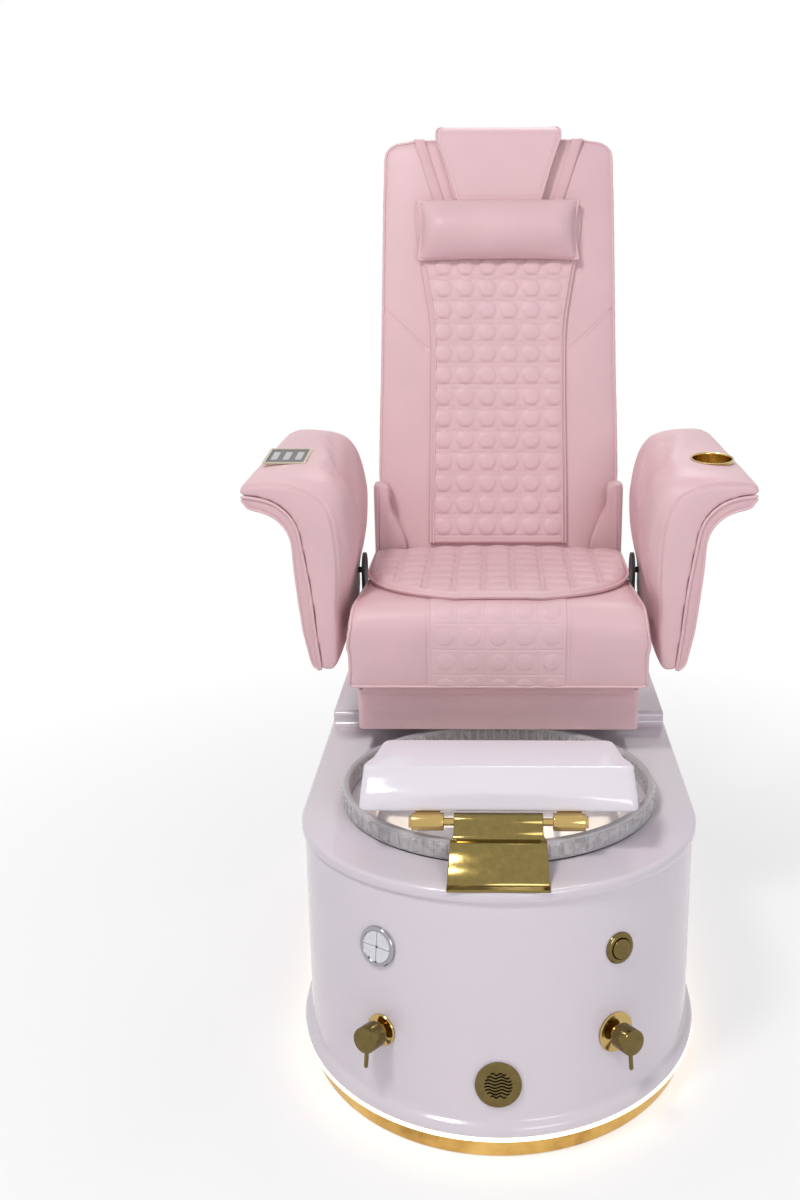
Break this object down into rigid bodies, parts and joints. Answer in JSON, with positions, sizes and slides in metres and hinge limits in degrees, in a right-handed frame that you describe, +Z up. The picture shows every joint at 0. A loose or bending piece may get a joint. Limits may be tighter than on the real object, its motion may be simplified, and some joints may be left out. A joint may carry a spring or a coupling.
{
  "type": "pedicure spa chair",
  "caption": "Pedicure chair with a glass foot bath in a round-fronted white tub, a folding footrest and a padded reclining seat on a slide with lifting armrests.",
  "frame": {"origin": "on the floor under the centre of the whole chair's box", "axes": "+Z up; the chair faces -Y; +X is to the right of someone who looks at the chair from the front"},
  "size_m": [0.9062, 1.2997, 1.551],
  "materials": {
    "kick_board": "polished",
    "light_diffuser": "satin",
    "white_shell": "gloss",
    "frame_metal": "satin",
    "crystal": "polished",
    "rubber_ring": "matte",
    "gold": "polished",
    "pipe_white": "gloss",
    "black_plastic": "matte",
    "inlet_metal": "satin",
    "panel_grey": "gloss",
    "chrome_ring": "polished",
    "key_white": "gloss",
    "rail_steel": "satin",
    "apron_board": "satin",
    "plywood": "matte",
    "pink_upholstery": "satin",
    "pink_shell": "satin",
    "strap_leather": "satin",
    "remote_silver": "satin",
    "remote_keys": "satin"
  },
  "bodies": {
    "base": {"kick_base": "kick_board", "led_strip": "light_diffuser", "tub_shell": "white_shell", "tub_deck": "white_shell", "inner_frame": "frame_metal", "glass_bowl": "crystal", "bowl_gasket": "rubber_ring", "bowl_drain": "gold", "drain_pipe": "pipe_white", "jet_pump": "black_plastic", "bowl_inlet": "gold", "supply_hoses": "rubber_ring", "water_inlets": "inlet_metal", "rear_panel": "panel_grey", "panel_screws": "inlet_metal", "power_inlet": "black_plastic", "control_box": "black_plastic", "vent_grille": "gold", "pad_bezel": "chrome_ring", "push_bezel": "gold", "left_valve": "gold", "mixer_valve": "gold", "footrest_bracket": "gold", "hinge_rod": "gold", "slide_rails": "rail_steel", "slide_drive": "black_plastic"},
    "pad_key_a": {"pad_button_a": "key_white"},
    "pad_key_b": {"pad_button_b": "key_white"},
    "pad_key_c": {"pad_button_c": "key_white"},
    "pad_key_d": {"pad_button_d": "key_white"},
    "push_key": {"push_button": "gold"},
    "left_tap": {"left_knob": "gold"},
    "mixer_tap": {"mixer_knob": "gold"},
    "footrest": {"footrest_pad": "white_shell", "footrest_knuckles": "gold"},
    "seat": {"seat_frame": "frame_metal", "slide_rod": "rail_steel", "apron": "apron_board", "seat_pan": "plywood", "seat_cushion": "pink_upholstery", "seat_topper": "pink_upholstery", "recline_motor": "black_plastic", "arm_brackets": "rail_steel", "side_gussets": "pink_upholstery"},
    "backrest": {"back_frame": "frame_metal", "back_cover": "pink_shell", "back_cushion": "pink_upholstery", "back_mat": "pink_upholstery", "head_flap": "pink_upholstery", "pillow": "pink_upholstery", "pillow_straps": "strap_leather"},
    "armrest_left": {"arm_cushion_left": "pink_upholstery", "arm_shell_left": "pink_shell", "remote_panel": "remote_silver"},
    "armrest_right": {"arm_cushion_right": "pink_upholstery", "arm_shell_right": "pink_shell", "cup_holder": "gold"},
    "rocker_a": {"remote_key_a": "remote_keys"},
    "rocker_b": {"remote_key_b": "remote_keys"},
    "rocker_c": {"remote_key_c": "remote_keys"}
  },
  "joints": [
    {"name": "pad_press_a", "type": "slide", "parent": "base", "child": "pad_key_a", "axis": [0.5239, 0.8419, -0.1294], "range_m": [0, 0.0015], "stiffness_N_per_m": 400, "springref_m": -0.001},
    {"name": "pad_press_b", "type": "slide", "parent": "base", "child": "pad_key_b", "axis": [0.5239, 0.8419, -0.1294], "range_m": [0, 0.0015], "stiffness_N_per_m": 400, "springref_m": -0.001},
    {"name": "pad_press_c", "type": "slide", "parent": "base", "child": "pad_key_c", "axis": [0.5239, 0.8419, -0.1294], "range_m": [0, 0.0015], "stiffness_N_per_m": 400, "springref_m": -0.001},
    {"name": "pad_press_d", "type": "slide", "parent": "base", "child": "pad_key_d", "axis": [0.5239, 0.8419, -0.1294], "range_m": [0, 0.0015], "stiffness_N_per_m": 400, "springref_m": -0.001},
    {"name": "push_press", "type": "slide", "parent": "base", "child": "push_key", "axis": [-0.5239, 0.8419, -0.1294], "range_m": [0, 0.004], "stiffness_N_per_m": 500, "springref_m": -0.003},
    {"name": "left_tap_turn", "type": "hinge", "parent": "base", "child": "left_tap", "pos_m": [-0.178, -0.56419, 0.17], "axis": [-0.5388, -0.8324, 0.1296], "range_deg": [0, 90]},
    {"name": "mixer_turn", "type": "hinge", "parent": "base", "child": "mixer_tap", "pos_m": [0.178, -0.56419, 0.17], "axis": [0.5388, -0.8324, 0.1296], "range_deg": [-60, 60]},
    {"name": "footrest_fold", "type": "hinge", "parent": "base", "child": "footrest", "pos_m": [0, -0.473, 0.474], "axis": [1, 0, 0], "range_deg": [0, 95]},
    {"name": "seat_slide", "type": "slide", "parent": "base", "child": "seat", "axis": [0, -1, 0], "range_m": [0, 0.1]},
    {"name": "recline", "type": "hinge", "parent": "seat", "child": "backrest", "pos_m": [0, 0.36705, 0.59311], "axis": [-1, 0, 0], "range_deg": [0, 35]},
    {"name": "armrest_lift_left", "type": "hinge", "parent": "seat", "child": "armrest_left", "pos_m": [-0.288, 0.208, 0.69], "axis": [-1, 0, 0], "range_deg": [0, 60]},
    {"name": "armrest_lift_right", "type": "hinge", "parent": "seat", "child": "armrest_right", "pos_m": [0.288, 0.208, 0.69], "axis": [-1, 0, 0], "range_deg": [0, 60]},
    {"name": "rocker_tilt_a", "type": "hinge", "parent": "armrest_left", "child": "rocker_a", "pos_m": [-0.364, 0.0491, 0.94551], "axis": [1, 0, 0], "range_deg": [-4, 4], "stiffness_Nm_per_rad": 0.3},
    {"name": "rocker_tilt_b", "type": "hinge", "parent": "armrest_left", "child": "rocker_b", "pos_m": [-0.386, 0.0491, 0.94551], "axis": [1, 0, 0], "range_deg": [-4, 4], "stiffness_Nm_per_rad": 0.3},
    {"name": "rocker_tilt_c", "type": "hinge", "parent": "armrest_left", "child": "rocker_c", "pos_m": [-0.408, 0.0491, 0.94551], "axis": [1, 0, 0], "range_deg": [-4, 4], "stiffness_Nm_per_rad": 0.3}
  ]
}
